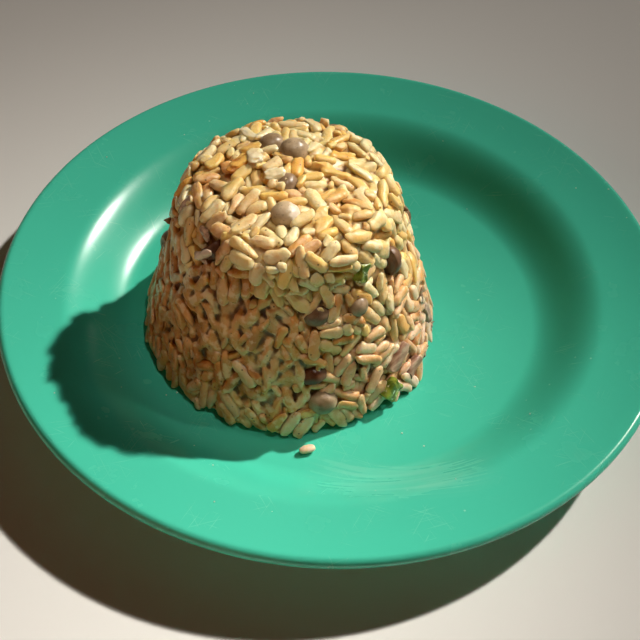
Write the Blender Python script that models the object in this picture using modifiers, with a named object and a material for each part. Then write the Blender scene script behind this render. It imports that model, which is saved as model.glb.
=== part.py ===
"""A moulded mound of yellow rice and pigeon peas on a round green plate.

Metres, +Z up. The origin is the centre of the plate's foot, on the surface it stands on.
The mound stands a little left of the middle and towards -Y, which is the front.
"""
from math import atan, cos, hypot, pi, radians, sin, sqrt, tan
from random import Random

import bmesh
import bpy
from mathutils import Matrix, Vector, noise
from mathutils.bvhtree import BVHTree

GAP = 0.0003                  # left between pieces that touch

# The plate, a thick moulded side plate with a flat well, a cove and a wide rim.
PLATE_RADIUS = 0.092
PLATE_STEPS = 60
FLOOR_TOP = 0.0040
FLOOR_UNDER = 0.0012
WALL = 0.0030
COVE_START = 0.0565
COVE_END = 0.0750
UNDER_COVE_START = 0.0595
COVE_RISE = 0.0098
RIM_RISE = 0.0039
LIP_RADIUS = 0.00175
FOOT_RADIUS = 0.0555
FOOT_WIDTH = 0.0024
FOOT_EDGE = 0.0004

# The mound, turned out of a deep cup: a leaning side, a round shoulder and a low crown.
MOUND_CENTRE = Vector((-0.0118, -0.0052, 0.0))
MOUND_BASE = FLOOR_TOP + GAP
CORE_RADIUS = 0.0408
CORE_HEIGHT = 0.0562
CROWN = 0.0026
SIDE_LEAN = radians(15.9)
SHOULDER = 0.0095
BASE_ROUNDING = 0.0012
CORE_STEPS = 40
SEARCH_REACH = 0.006
LUMP_HEIGHT = 0.0011
LUMP_SIZE = 0.0085
SLOW_LUMP_SIZE = 0.0200
SLOW_LUMP_SHARE = 0.8

# The grains fused to the core, at true size.
GRAIN_COUNT = 700
GRAIN_LENGTH = (0.0068, 0.0088)
GRAIN_WIDTH = (0.0024, 0.0030)
GRAIN_SINK = 0.0004
GRAIN_TILT = radians(11)
GRAIN_JITTER = 0.04
GRAIN_BLUNTNESS = 0.62
GRAIN_TRIES = 3
FOOT_GRAIN_COUNT = 34
FOOT_GRAIN_OUT = (0.0002, 0.0012)
GOLDEN_TURN = pi * (3 - sqrt(5))
MOUND_FACES = 7100
MEND_ROUNDS = 12
SEED = 7

# The peas: name, turn about the mound's axis in degrees, share of the way from the base edge
# to the top centre, spin in degrees, length and how far the middle stands out of the core.
PEA_ROUNDNESS = (1.0, 0.86, 0.80)
PEA_KEEP_CLEAR = 0.86
PEAS = (
    ("pea_top_back", 113, 0.818, 35, 0.0084, -0.0016),
    ("pea_top_middle", 86, 0.893, 20, 0.0088, -0.0008),
    ("pea_top_front", -92, 0.812, 5, 0.0086, -0.0006),
    ("pea_top_sunk", -86, 0.955, 80, 0.0076, -0.0024),
    ("pea_right_shoulder", -29, 0.500, 80, 0.0092, -0.0008),
    ("pea_front_upper", -76, 0.462, 15, 0.0080, -0.0018),
    ("pea_front_small", -55, 0.437, 40, 0.0062, -0.0004),
    ("pea_front_lower", -78, 0.203, 10, 0.0086, -0.0018),
    ("pea_front_base", -75, 0.062, 0, 0.0086, -0.0008),
    ("pea_left_hollow", -134, 0.605, 60, 0.0076, -0.0018),
    ("pea_back_low", 62, 0.190, 25, 0.0086, -0.0010),
    ("pea_back_high", 118, 0.480, 70, 0.0084, -0.0006),
    ("pea_back_side", 26, 0.350, 50, 0.0088, -0.0012),
    ("pea_left_low", 162, 0.240, 15, 0.0084, -0.0010),
    ("pea_back_shoulder", 66, 0.600, 60, 0.0082, -0.0010),
)

# Diced pieces: name, turn, share, spin, size along, across and through, and how far out.
DICED = (
    ("pepper_shoulder", -50, 0.552, 70, (0.0052, 0.0036, 0.0030), 0.0006),
    ("pepper_base", -46, 0.052, 30, (0.0060, 0.0048, 0.0032), 0.0008),
    ("pepper_back", 96, 0.300, 110, (0.0056, 0.0040, 0.0030), 0.0006),
    ("ham_right_upper", -39, 0.152, 35, (0.0088, 0.0034, 0.0026), 0.0006),
    ("ham_right_lower", -32, 0.062, 15, (0.0070, 0.0028, 0.0024), 0.0006),
    ("ham_right_side", -9, 0.130, 100, (0.0080, 0.0030, 0.0026), 0.0004),
    ("ham_back", 140, 0.150, 60, (0.0080, 0.0034, 0.0026), 0.0006),
)
DICE_EDGE = 0.0008

# Bits of soft onion and skin, fused to the mound like the grains.
ONION_BITS = (
    (125, 0.745, 100, (0.0062, 0.0030, 0.0022)),
    (162, 0.895, 40, (0.0056, 0.0044, 0.0024)),
    (-136, 0.942, 75, (0.0050, 0.0038, 0.0022)),
    (167, 0.855, 150, (0.0046, 0.0036, 0.0026)),
    (-84, 0.094, 5, (0.0070, 0.0030, 0.0020)),
    (-35, 0.330, 95, (0.0056, 0.0030, 0.0020)),
)

# A broken bit of rice lies on the plate in front of the mound.
LOOSE_BIT_PLACE = (-0.0058, -0.0508)
LOOSE_BIT_SIZE = (0.0046, 0.0024, 0.0018)
LOOSE_BIT_TURN = radians(20)


def clear_scene():
    """Remove whatever the scene already holds."""
    for thing in list(bpy.data.objects):
        bpy.data.objects.remove(thing, do_unlink=True)


def collection(name):
    """Add a collection to the scene."""
    group = bpy.data.collections.new(name)
    bpy.context.scene.collection.children.link(group)
    return group


def material(name, colour, roughness):
    """Make one plain finish."""
    finish = bpy.data.materials.new(name)
    finish.use_nodes = True
    shader = finish.node_tree.nodes["Principled BSDF"]
    shader.inputs["Base Color"].default_value = (*colour, 1.0)
    shader.inputs["Roughness"].default_value = roughness
    shader.inputs["Metallic"].default_value = 0.0
    return finish


def object_from(name, bm, group, finish):
    """Turn a bmesh into a named object with its finish, and free the bmesh."""
    mesh = bpy.data.meshes.new(name)
    bm.to_mesh(mesh)
    bm.free()
    thing = bpy.data.objects.new(name, mesh)
    group.objects.link(thing)
    mesh.materials.append(finish)
    return thing


def turned(name, outline, steps, group, finish):
    """Turn a half outline, listed from the top of the axis down its outer side, into a solid."""
    mesh = bpy.data.meshes.new(name)
    points = [(radius, 0.0, height) for radius, height in outline]
    mesh.from_pydata(points, [(i, i + 1) for i in range(len(points) - 1)], [])
    thing = bpy.data.objects.new(name, mesh)
    group.objects.link(thing)
    mesh.materials.append(finish)
    screw = thing.modifiers.new("turn", "SCREW")
    screw.steps = steps
    screw.render_steps = steps
    screw.use_merge_vertices = True
    screw.merge_threshold = 0.00001
    screw.use_smooth_shade = True
    return thing


def applied(thing):
    """Put an object's modifiers into its mesh."""
    graph = bpy.context.evaluated_depsgraph_get()
    mesh = bpy.data.meshes.new_from_object(thing.evaluated_get(graph))
    thing.modifiers.clear()
    thing.data = mesh
    return thing


def combined(thing, operation, group):
    """Cut or join an object with every object of a collection, then remove that collection."""
    boolean = thing.modifiers.new("combine", "BOOLEAN")
    boolean.operation = operation
    boolean.operand_type = "COLLECTION"
    boolean.collection = group
    boolean.solver = "MANIFOLD"
    applied(thing)
    for other in list(group.objects):
        bpy.data.objects.remove(other, do_unlink=True)
    bpy.data.collections.remove(group)
    return thing


def plate_top(radius):
    """Height of the eating surface at a distance from the centre."""
    cove = min(max((radius - COVE_START) / (COVE_END - COVE_START), 0.0), 1.0)
    reach = max((radius - COVE_START) / (PLATE_RADIUS - COVE_START), 0.0)
    return FLOOR_TOP + COVE_RISE * cove * cove * (3 - 2 * cove) + RIM_RISE * reach * reach


def plate_under(radius):
    """Point a wall's thickness below the eating surface, square to it."""
    step = 0.0001
    slope = atan((plate_top(radius + step) - plate_top(radius - step)) / (2 * step))
    return radius + WALL * sin(slope), plate_top(radius) - WALL * cos(slope)


def spaced(start, end, count):
    """Evenly spaced values from start to end, both included."""
    return [start + (end - start) * i / (count - 1) for i in range(count)]


def plate_outline():
    """The plate's half outline: top surface, lip, underside, foot ring, middle."""
    lip_middle = PLATE_RADIUS - LIP_RADIUS
    lip_height = plate_top(lip_middle) - LIP_RADIUS
    outline = [(0.0, FLOOR_TOP)]
    outline += [(r, plate_top(r)) for r in spaced(COVE_START, COVE_END, 6)]
    outline += [(r, plate_top(r)) for r in spaced(COVE_END, lip_middle, 3)[1:2]]
    for turn in spaced(radians(90), radians(-90), 5):
        outline.append((lip_middle + LIP_RADIUS * cos(turn), lip_height + LIP_RADIUS * sin(turn)))
    outline += [plate_under(r) for r in spaced(COVE_END, UNDER_COVE_START, 4)]
    outline.append((FOOT_RADIUS, FOOT_EDGE))
    outline.append((FOOT_RADIUS - FOOT_EDGE, 0.0))
    outline.append((FOOT_RADIUS - FOOT_WIDTH, 0.0))
    outline.append((FOOT_RADIUS - FOOT_WIDTH - FOOT_EDGE, FLOOR_UNDER))
    outline.append((0.0, FLOOR_UNDER))
    return outline


def core_outline():
    """The bare core's half outline, from the top of its axis to the middle of its base."""
    arc_height = CORE_HEIGHT - CROWN - SHOULDER
    arc_radius = CORE_RADIUS - arc_height * tan(SIDE_LEAN) - SHOULDER / cos(SIDE_LEAN)
    crown_slope = atan(2 * CROWN / arc_radius)
    outline = []
    for radius in spaced(0.0, arc_radius + SHOULDER * sin(crown_slope), 5)[:-1]:
        outline.append((radius, CORE_HEIGHT - CROWN * (radius / arc_radius) ** 2))
    for turn in spaced(radians(90) - crown_slope, SIDE_LEAN, 6):
        outline.append((arc_radius + SHOULDER * cos(turn), arc_height + SHOULDER * sin(turn)))
    side_top = outline[-1]
    side_foot = (CORE_RADIUS - BASE_ROUNDING * tan(SIDE_LEAN), BASE_ROUNDING)
    for share in spaced(0.0, 1.0, 13)[1:]:
        outline.append(tuple(a + (b - a) * share for a, b in zip(side_top, side_foot)))
    outline.append((CORE_RADIUS - BASE_ROUNDING, 0.0))
    outline.append((0.0, 0.0))
    return outline


def lump(point):
    """How far the core stands proud at a point, from slow and quick unevenness."""
    slow = noise.noise(point / SLOW_LUMP_SIZE)
    quick = noise.noise(point / LUMP_SIZE)
    return LUMP_HEIGHT * (SLOW_LUMP_SHARE * slow + quick)


def build_core(group, finish):
    """The mound's core, turned and then made uneven, with a flat base."""
    outline = [(radius, height + MOUND_BASE) for radius, height in core_outline()]
    core = applied(turned("rice_mound", outline, CORE_STEPS, group, finish))
    bm = bmesh.new()
    bm.from_mesh(core.data)
    bmesh.ops.translate(bm, verts=bm.verts, vec=MOUND_CENTRE)
    bm.normal_update()
    flat_limit = MOUND_BASE + 0.5 * BASE_ROUNDING
    moves = [(v, v.normal * lump(v.co)) for v in bm.verts if v.co.z > flat_limit]
    for vertex, move in moves:
        vertex.co += move
    bmesh.ops.triangulate(bm, faces=bm.faces)
    bm.to_mesh(core.data)
    bm.free()
    return core


def mound_path():
    """The outer half outline from the base edge to the top centre, with the length so far."""
    points = list(reversed(core_outline()[:-2]))
    lengths = [0.0]
    for (r1, z1), (r2, z2) in zip(points, points[1:]):
        lengths.append(lengths[-1] + hypot(r2 - r1, z2 - z1))
    return points, lengths


def place_on_mound(tree, turn, share):
    """The core's surface point and outward direction at a turn and a share of the path."""
    points, lengths = mound_path()
    target = share * lengths[-1]
    index = max(i for i, length in enumerate(lengths[:-1]) if length <= target)
    part = (target - lengths[index]) / (lengths[index + 1] - lengths[index])
    (r1, z1), (r2, z2) = points[index], points[index + 1]
    radius, height = r1 + (r2 - r1) * part, z1 + (z2 - z1) * part
    outward = Vector((z2 - z1, 0.0, r1 - r2)).normalized()
    turned_by = Matrix.Rotation(turn, 3, "Z")
    point = turned_by @ Vector((radius, 0.0, height)) + MOUND_CENTRE
    point.z += MOUND_BASE
    outward = turned_by @ outward
    start = point + outward * SEARCH_REACH
    hit = tree.ray_cast(start, -outward, 2 * SEARCH_REACH)[0]
    return hit or point, outward


def laid(point, outward, spin, tilt=0.0):
    """A frame at a point: X along the piece, Z out of the mound."""
    up = Vector((0.0, 0.0, 1.0))
    across = up.cross(outward) if abs(outward.z) < 0.98 else Vector((1.0, 0.0, 0.0))
    across.normalize()
    rising = outward.cross(across)
    frame = Matrix((across, rising, outward)).transposed().to_4x4()
    turn = Matrix.Rotation(spin, 4, "Z") @ Matrix.Rotation(tilt, 4, "Y")
    return Matrix.Translation(point) @ frame @ turn


def pea_mesh(length, grown=0.0):
    """A pea: a slightly flattened ball, its split line along X."""
    bm = bmesh.new()
    bmesh.ops.create_uvsphere(bm, u_segments=10, v_segments=7, radius=1.0)
    half = [0.5 * length * share + grown for share in PEA_ROUNDNESS]
    bmesh.ops.scale(bm, verts=bm.verts, vec=half)
    return bm


def diced_mesh(size, grown=0.0):
    """A cut piece: a block with worn edges."""
    bm = bmesh.new()
    bmesh.ops.create_cube(bm, size=1.0)
    bmesh.ops.scale(bm, verts=bm.verts, vec=[side + 2 * grown for side in size])
    bmesh.ops.bevel(
        bm, geom=bm.edges, offset=DICE_EDGE, segments=1, profile=0.5, affect="EDGES", material=-1
    )
    return bm


def grain_mesh(length, width):
    """A rice grain: a blunt spindle with few sides, along X."""
    bm = bmesh.new()
    bmesh.ops.create_uvsphere(bm, u_segments=5, v_segments=4, radius=1.0)
    for vertex in bm.verts:
        side = 1.0 if vertex.co.z > 0 else -1.0
        vertex.co.z = side * abs(vertex.co.z) ** GRAIN_BLUNTNESS
    bmesh.ops.rotate(bm, verts=bm.verts, cent=(0, 0, 0), matrix=Matrix.Rotation(pi / 2, 3, "Y"))
    bmesh.ops.scale(bm, verts=bm.verts, vec=(0.5 * length, 0.5 * width, 0.5 * width))
    return bm


def build_toppings(tree, group, pockets, finishes):
    """The peas and diced pieces, with a slightly larger cutter for each one's pocket."""
    placed = []
    for name, turn, share, spin, length, out in PEAS:
        point, outward = place_on_mound(tree, radians(turn), share)
        frame = laid(point + outward * out, outward, radians(spin))
        pea = object_from(name, pea_mesh(length), group, finishes["pea"])
        pea.data.shade_smooth()
        pea.matrix_world = frame
        pocket = object_from(name + "_pocket", pea_mesh(length, GAP), pockets, finishes["pea"])
        pocket.matrix_world = frame
        placed.append((frame.translation.copy(), PEA_KEEP_CLEAR * 0.5 * length))
    for name, turn, share, spin, size, out in DICED:
        point, outward = place_on_mound(tree, radians(turn), share)
        frame = laid(point + outward * out, outward, radians(spin))
        finish = finishes[name.split("_")[0]]
        piece = object_from(name, diced_mesh(size), group, finish)
        piece.matrix_world = frame
        pocket = object_from(name + "_pocket", diced_mesh(size, GAP), pockets, finish)
        pocket.matrix_world = frame
        half_length = Vector((0.5 * size[0] - 0.5 * size[1], 0.0, 0.0))
        for side in (-1, 0, 1):
            placed.append((frame @ (half_length * side), hypot(size[1], size[2]) / 2))
    return placed


def grain_spine(frame, length, width):
    """Five points along a grain's middle line."""
    reach = 0.5 * (length - width)
    return [frame @ Vector((side * reach, 0.0, 0.0)) for side in (-1.0, -0.5, 0.0, 0.5, 1.0)]


def lifted(frame, length, width):
    """The grain's frame, raised where it would sink below the mound's flat base."""
    lowest = min(point.z for point in grain_spine(frame, length, width)) - 0.5 * width
    rise = max(MOUND_BASE - lowest, 0.0)
    return Matrix.Translation((0.0, 0.0, rise)) @ frame


def clears(frame, length, width, placed):
    """Whether a grain keeps its gap to the toppings."""
    for point in grain_spine(frame, length, width):
        for centre, reach in placed:
            if (point - centre).length < reach + 0.5 * width + GAP:
                return False
    return True


def area_share(index, count):
    """Share of the path from the base at which the mound's area is split evenly."""
    points, lengths = mound_path()
    areas = [0.0]
    for i in range(1, len(points)):
        areas.append(areas[-1] + (points[i][0] + points[i - 1][0]) * (lengths[i] - lengths[i - 1]))
    target = areas[-1] * (index + 0.5) / count
    i = max(k for k, area in enumerate(areas[:-1]) if area <= target)
    part = (target - areas[i]) / (areas[i + 1] - areas[i])
    return (lengths[i] + (lengths[i + 1] - lengths[i]) * part) / lengths[-1]


def grain_spots():
    """Turn, share of the path and least and most stand-out of every grain, spread evenly."""
    for index in range(GRAIN_COUNT):
        yield index * GOLDEN_TURN, area_share(index, GRAIN_COUNT), (-GRAIN_SINK, GRAIN_SINK)
    for index in range(FOOT_GRAIN_COUNT):
        yield 2 * pi * index / FOOT_GRAIN_COUNT, 0.0, FOOT_GRAIN_OUT


def build_grains(tree, group, placed, finish):
    """Grains over the core and round its foot: one that would cross a topping turns or goes."""
    rng = Random(SEED)
    for turn, share, stand_out in grain_spots():
        length = rng.uniform(*GRAIN_LENGTH)
        width = rng.uniform(*GRAIN_WIDTH)
        turn += rng.uniform(-GRAIN_JITTER, GRAIN_JITTER)
        point, outward = place_on_mound(tree, turn, share)
        point += outward * rng.uniform(*stand_out)
        spin = rng.uniform(0.0, pi)
        tilt = rng.uniform(-GRAIN_TILT, GRAIN_TILT)
        for attempt in range(GRAIN_TRIES):
            spin += attempt * pi / GRAIN_TRIES
            frame = lifted(laid(point, outward, spin, tilt), length, width)
            if clears(frame, length, width, placed):
                grain = object_from("grain", grain_mesh(length, width), group, finish)
                grain.matrix_world = frame
                break


def build_onion_bits(tree, group, finish):
    """Soft bits of onion and skin that lie in the surface among the grains."""
    for index, (turn, share, spin, size) in enumerate(ONION_BITS):
        point, outward = place_on_mound(tree, radians(turn), share)
        piece = object_from(f"onion_{index}", diced_mesh(size), group, finish)
        piece.matrix_world = laid(point, outward, radians(spin))


def keep_largest_shell(thing):
    """Drop loose scraps and fill sealed hollows: only the outer shell stays."""
    bm = bmesh.new()
    bm.from_mesh(thing.data)
    unseen = set(bm.verts)
    shells = []
    while unseen:
        front = [unseen.pop()]
        shell = set(front)
        while front:
            for edge in front.pop().link_edges:
                for vertex in edge.verts:
                    if vertex in unseen:
                        unseen.remove(vertex)
                        shell.add(vertex)
                        front.append(vertex)
        shells.append(shell)
    shells.sort(key=len)
    for shell in shells[:-1]:
        bmesh.ops.delete(bm, geom=list(shell), context="VERTS")
    bmesh.ops.triangulate(bm, faces=bm.faces)
    bm.to_mesh(thing.data)
    bm.free()


def with_fewer_faces(thing, count):
    """Collapse edges until about this many triangles are left, which keeps each grain's form."""
    fewer = thing.modifiers.new("fewer", "DECIMATE")
    fewer.ratio = count / len(thing.data.polygons)
    fewer.use_collapse_triangulate = True
    return applied(thing)


def crossing_vertices(bm):
    """Vertices of the faces that cut through a face they don't touch."""
    bm.faces.ensure_lookup_table()
    tree = BVHTree.FromBMesh(bm)
    found = set()
    for first, second in tree.overlap(tree):
        corners = set(bm.faces[first].verts)
        if corners.isdisjoint(bm.faces[second].verts):
            found |= corners
    return found


def mend_crossings(thing):
    """Smooth the few places where collapsing edges pushed the surface through itself."""
    bm = bmesh.new()
    bm.from_mesh(thing.data)
    for _ in range(MEND_ROUNDS):
        crossed = [v for v in crossing_vertices(bm) if v.co.z > MOUND_BASE + GAP]
        if not crossed:
            break
        bmesh.ops.smooth_vert(
            bm, verts=crossed, factor=0.5, use_axis_x=True, use_axis_y=True, use_axis_z=True
        )
    bm.to_mesh(thing.data)
    bm.free()


def build_plate(group, finish):
    """The plate, turned in one piece with its foot ring."""
    return turned("plate", plate_outline(), PLATE_STEPS, group, finish)


def build_loose_bit(group, finish):
    """The broken bit of rice on the plate."""
    bit = object_from("loose_bit", diced_mesh(LOOSE_BIT_SIZE), group, finish)
    height = FLOOR_TOP + GAP + 0.5 * LOOSE_BIT_SIZE[2]
    bit.location = (*LOOSE_BIT_PLACE, height)
    bit.rotation_euler = (0.0, 0.0, LOOSE_BIT_TURN)
    return bit


def build_mound(group, finishes):
    """The mound's core with its pockets, grains and bits, and the toppings in the pockets."""
    core = build_core(group, finishes["rice"])
    bm = bmesh.new()
    bm.from_mesh(core.data)
    tree = BVHTree.FromBMesh(bm)
    bm.free()
    pockets = collection("pockets")
    placed = build_toppings(tree, group, pockets, finishes)
    fused = collection("fused")
    build_grains(tree, fused, placed, finishes["rice"])
    build_onion_bits(tree, fused, finishes["rice"])
    combined(core, "UNION", fused)
    keep_largest_shell(core)
    with_fewer_faces(core, MOUND_FACES)
    mend_crossings(core)
    combined(core, "DIFFERENCE", pockets)
    keep_largest_shell(core)
    return core


def build():
    """Model the plate of rice and peas."""
    clear_scene()
    group = collection("plate_of_rice_and_peas")
    finishes = {
        "melamine": material("melamine", (0.055, 0.50, 0.33), 0.32),
        "rice": material("rice", (0.78, 0.56, 0.26), 0.55),
        "pea": material("pea", (0.27, 0.17, 0.12), 0.42),
        "pepper": material("pepper", (0.20, 0.26, 0.04), 0.35),
        "ham": material("ham", (0.34, 0.12, 0.08), 0.45),
    }
    build_plate(group, finishes["melamine"])
    build_mound(group, finishes)
    build_loose_bit(group, finishes["rice"])


build()
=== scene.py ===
from math import atan, atan2, cos, exp, hypot, pi, radians, sin, tan
from random import Random

import bmesh
import bpy
import numpy as np
from mathutils import Matrix, Vector, kdtree, noise


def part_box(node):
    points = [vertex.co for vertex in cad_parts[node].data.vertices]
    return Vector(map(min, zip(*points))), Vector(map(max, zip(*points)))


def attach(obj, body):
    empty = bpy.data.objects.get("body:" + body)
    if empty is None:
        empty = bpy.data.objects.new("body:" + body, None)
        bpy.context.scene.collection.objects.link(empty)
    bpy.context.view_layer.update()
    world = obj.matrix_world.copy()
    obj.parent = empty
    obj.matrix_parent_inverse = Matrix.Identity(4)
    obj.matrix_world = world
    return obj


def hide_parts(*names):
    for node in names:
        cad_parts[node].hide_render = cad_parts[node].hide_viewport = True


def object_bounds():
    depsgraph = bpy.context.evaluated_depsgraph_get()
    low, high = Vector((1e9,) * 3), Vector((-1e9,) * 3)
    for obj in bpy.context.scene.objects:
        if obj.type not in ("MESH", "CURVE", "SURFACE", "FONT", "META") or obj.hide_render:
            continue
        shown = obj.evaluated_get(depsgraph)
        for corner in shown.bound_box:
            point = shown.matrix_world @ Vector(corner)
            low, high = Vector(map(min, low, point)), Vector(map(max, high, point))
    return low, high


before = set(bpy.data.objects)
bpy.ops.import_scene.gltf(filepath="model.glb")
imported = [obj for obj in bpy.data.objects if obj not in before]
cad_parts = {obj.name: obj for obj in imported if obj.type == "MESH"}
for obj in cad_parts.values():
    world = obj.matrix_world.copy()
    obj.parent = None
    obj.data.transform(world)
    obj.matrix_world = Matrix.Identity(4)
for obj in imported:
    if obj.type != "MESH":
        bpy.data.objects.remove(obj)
cad_lowest, cad_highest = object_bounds()

# without a seed, noise_vector starts from the clock and the small forms differ in every run
NOISE_SEED = 1
noise.seed_set(NOISE_SEED)

# ---- The view and the light ----------------------------------------------------------------
# The camera looks down on the plate at the photograph's angle, from the photograph's distance.
# A low light behind on the right throws the mound's shadow to the near left. Soft spots add to
# it on the plate, the mound's top and its right side, and a weak warm light opens the shadows.
VIEW_PLACE = Vector((-0.00334, -0.24915, 0.27779))
VIEW_ELEVATION = radians(48.275)
VIEW_ROLL = radians(1.436)
PICTURE_PX = 640
FOCAL_PX = 1300.0
SENSOR_MM = 36.0

KEY_DIRECTION = Vector((0.892, 0.659, 1.0))
KEY_STRENGTH = 1.2
KEY_SPREAD = radians(2.0)
KEY_COLOUR = (1.0, 0.955, 0.87)
LAMP_PLACE = 3.0 * KEY_DIRECTION
TOP_MIDDLE = Vector((-0.011, -0.020, 0.050))
SIDE_MIDDLE = Vector((0.020, -0.020, 0.022))
SPOTS = (
    # name, place, target, power, cone in degrees, blend, lamp radius
    ("pool", LAMP_PLACE, Vector((-0.078, -0.012, 0.0)), 640.0, 3.3, 1.0, 0.08),
    ("near", LAMP_PLACE, Vector((-0.020, -0.130, 0.0)), 1330.0, 2.6, 1.0, 0.08),
    ("upper", TOP_MIDDLE + Vector((0.30, -0.08, 1.30)), TOP_MIDDLE, 33.0, 3.0, 0.45, 0.035),
    ("side", SIDE_MIDDLE + Vector((0.85, 0.08, 0.80)), SIDE_MIDDLE, 28.0, 3.3, 1.0, 0.035),
)
FILL_PLACE = Vector((-0.62, -0.72, 0.14))
FILL_SIZE = 1.1
FILL_POWER = 2.4
FILL_COLOUR = (1.0, 0.47, 0.19)
ROOM_COLOUR = (1.0, 0.86, 0.74)
ROOM_STRENGTH = 0.009


def add_lamp(name, kind, place, strength, colour, target=Vector((0.0, 0.0, 0.0)), **settings):
    """A lamp that looks at a target, by default the middle of the plate."""
    lamp = bpy.data.lights.new(name, kind)
    lamp.energy = strength
    lamp.color = colour
    for key, value in settings.items():
        setattr(lamp, key, value)
    thing = bpy.data.objects.new(name, lamp)
    turn = (target - place).to_track_quat("-Z", "Y").to_matrix().to_4x4()
    thing.matrix_world = Matrix.Translation(place) @ turn
    bpy.context.scene.collection.objects.link(thing)


view = bpy.data.cameras.new("view")
view.sensor_width = SENSOR_MM
view.lens = FOCAL_PX / PICTURE_PX * SENSOR_MM
view.clip_start = 0.01
camera = bpy.data.objects.new("view", view)
camera.matrix_world = (
    Matrix.Translation(VIEW_PLACE)
    @ Matrix.Rotation(pi / 2 - VIEW_ELEVATION, 4, "X")
    @ Matrix.Rotation(VIEW_ROLL, 4, "Z")
)
bpy.context.scene.collection.objects.link(camera)
bpy.context.scene.camera = camera
bpy.context.scene.view_settings.view_transform = "Standard"

add_lamp("key", "SUN", KEY_DIRECTION, KEY_STRENGTH, KEY_COLOUR, angle=KEY_SPREAD)
for name, place, target, power, cone, blend, radius in SPOTS:
    add_lamp(
        name, "SPOT", place, power, KEY_COLOUR, target, spot_size=radians(cone),
        spot_blend=blend, shadow_soft_size=radius,
    )
add_lamp("fill", "AREA", FILL_PLACE, FILL_POWER, FILL_COLOUR, size=FILL_SIZE)
room = bpy.data.worlds.new("room")
room.use_nodes = True
room.node_tree.nodes["Background"].inputs["Color"].default_value = (*ROOM_COLOUR, 1.0)
room.node_tree.nodes["Background"].inputs["Strength"].default_value = ROOM_STRENGTH
bpy.context.scene.world = room


# ---- The plain floor under the plate -------------------------------------------------------
# A wide pale sheet with a faint mottle. It isn't part of the object.
FLOOR_HALF = 6.0
FLOOR_COLOUR = (0.80, 0.785, 0.76)
FLOOR_SHADE = (0.74, 0.725, 0.70)


class Field:
    """A number or colour that changes over a surface. Sums and products add their own nodes."""

    def __init__(self, finish, socket):
        self.finish, self.socket = finish, socket

    def maths(self, operation, first, second):
        return self.finish.node("ShaderNodeMath", {"operation": operation}, {0: first, 1: second})

    def __add__(self, other):
        return self.maths("ADD", self, other)

    def __sub__(self, other):
        return self.maths("SUBTRACT", self, other)

    def __rsub__(self, other):
        return self.maths("SUBTRACT", other, self)

    def __mul__(self, other):
        return self.maths("MULTIPLY", self, other)

    def __pow__(self, other):
        return self.maths("POWER", self, other)

    __radd__, __rmul__ = __add__, __mul__

    def step(self, low, high):
        """0 below low, 1 above high and a soft step between."""
        settings = {"interpolation_type": "SMOOTHSTEP"}
        return self.finish.node("ShaderNodeMapRange", settings, {0: self, 1: low, 2: high})

    def least(self, other):
        return self.maths("MINIMUM", self, other)


class Finish:
    """A procedural surface: Object coordinates, patterns and one Principled shader."""

    def __init__(self, name, **constants):
        self.material = bpy.data.materials.new(name)
        self.material.use_nodes = True
        self.tree = self.material.node_tree
        self.shader = self.tree.nodes["Principled BSDF"]
        self.place = self.node("ShaderNodeTexCoord", output="Object")
        for socket, value in constants.items():
            self.shader.inputs[socket.replace("_", " ")].default_value = value

    def join(self, value, socket):
        """Link a field to a socket, or set a plain number or colour on it."""
        if isinstance(value, Field):
            self.tree.links.new(value.socket, socket)
        elif isinstance(value, tuple) and len(socket.default_value) == 4:
            socket.default_value = (*value, 1.0)
        else:
            socket.default_value = value

    def node(self, kind, settings=None, inputs=None, output=0):
        """Add a node with its settings and its sockets' values or links; give one output."""
        node = self.tree.nodes.new(kind)
        for key, value in (settings or {}).items():
            setattr(node, key, value)
        for socket, value in (inputs or {}).items():
            self.join(value, node.inputs[socket])
        return Field(self, node.outputs[output])

    def mapped(self, scale, turn=(0.0, 0.0, 0.0), shift=(0.0, 0.0, 0.0)):
        """Object coordinates shifted, turned and scaled for a pattern."""
        inputs = {"Vector": self.place, "Location": shift, "Rotation": turn, "Scale": scale}
        return self.node("ShaderNodeMapping", {"vector_type": "TEXTURE"}, inputs)

    def mottle(self, size, detail=2.0, where=None):
        """Cloudy unevenness of a given size in metres, about 0.5 in the middle."""
        inputs = {"Vector": where or self.place, "Scale": 1.0 / size, "Detail": detail}
        return self.node("ShaderNodeTexNoise", None, inputs, "Fac")

    def specks(self, size, radius):
        """Round spots, one to a cell of a size: 1 inside a spot, whose radius is in cells."""
        inputs = {"Vector": self.place, "Scale": 1.0 / size}
        far = self.node("ShaderNodeTexVoronoi", None, inputs, "Distance")
        return 1.0 - far.step(0.7 * radius, radius)

    def attribute(self, name):
        """A value that the mesh carries on its points."""
        return self.node("ShaderNodeAttribute", {"attribute_name": name}, None, "Fac")

    def mix(self, first, second, share):
        """Blend two colours."""
        inputs = {0: share, 6: first, 7: second}
        return self.node("ShaderNodeMix", {"data_type": "RGBA"}, inputs, 2)

    def bump(self, height, depth, normal=None):
        """Relief of a height field, its full range being depth metres."""
        inputs = {"Height": height, "Distance": depth, "Strength": 1.0}
        if normal:
            inputs["Normal"] = normal
        return self.node("ShaderNodeBump", None, inputs, "Normal")

    def surface(self, **fields):
        """Link what changes over the surface to the shader."""
        for socket, value in fields.items():
            self.join(value, self.shader.inputs[socket.replace("_", " ")])
        return self.material


def shown(name, mesh, material):
    """Make a mesh a smooth object at the origin, with its finish."""
    mesh.materials.append(material)
    mesh.shade_smooth()
    thing = bpy.data.objects.new(name, mesh)
    bpy.context.scene.collection.objects.link(thing)
    return thing


def finished(name, bm, material):
    """Turn a bmesh into an object at the origin with its finish."""
    mesh = bpy.data.meshes.new(name)
    bmesh.ops.recalc_face_normals(bm, faces=bm.faces)
    bm.to_mesh(mesh)
    bm.free()
    return shown(name, mesh, material)


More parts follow.
